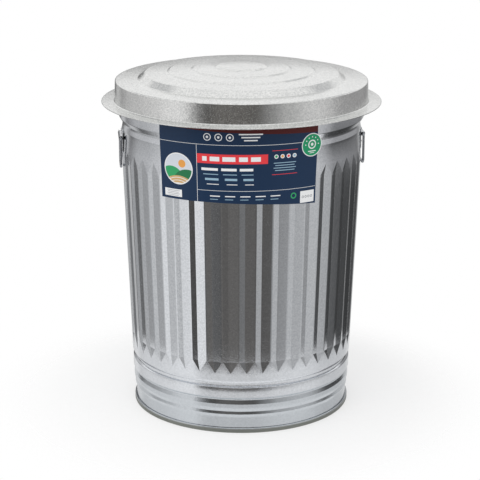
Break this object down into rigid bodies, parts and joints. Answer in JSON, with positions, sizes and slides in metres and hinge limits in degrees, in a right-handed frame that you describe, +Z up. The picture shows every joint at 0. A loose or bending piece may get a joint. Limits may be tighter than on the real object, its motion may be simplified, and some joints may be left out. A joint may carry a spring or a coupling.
{
  "type": "trash can",
  "caption": "Tapered fluted sheet-metal trash can with a raised bottom, a rolled rim, wire drop handles on riveted brackets, a wrap label and a stepped lift-off lid.",
  "frame": {"origin": "centre of the circle on which the foot stands, on the floor", "axes": "+Z up along the can's axis; the drop handles are on -X and +X; the label faces -Y"},
  "size_m": [0.5734, 0.5734, 0.7146],
  "materials": {
    "sheet": "galvanized, with a fine spangle",
    "wire": "galvanized wire",
    "rivet": "plain",
    "label": "printed card, satin",
    "sticker": "printed paper, satin"
  },
  "bodies": {
    "can": {"body_shell": "sheet", "rim_wire": "wire", "base_hoop": "sheet", "bottom_pan": "sheet", "handle_bracket_left": "sheet", "handle_bracket_right": "sheet", "bracket_rivets": "rivet", "label_wrap": "label", "round_sticker": "sticker"},
    "lid": {"lid_shell": "sheet"},
    "left_bail": {"bail_left": "wire"},
    "right_bail": {"bail_right": "wire"}
  },
  "joints": [
    {"name": "lid_lift", "type": "slide", "parent": "can", "child": "lid", "axis": [0, 0, 1], "range_m": [0, 0.15]},
    {"name": "left_bail_swing", "type": "hinge", "parent": "can", "child": "left_bail", "pos_m": [-0.2496, 0, 0.573], "axis": [0, 1, 0], "range_deg": [0, 165]},
    {"name": "right_bail_swing", "type": "hinge", "parent": "can", "child": "right_bail", "pos_m": [0.2496, 0, 0.573], "axis": [0, -1, 0], "range_deg": [0, 165]}
  ]
}
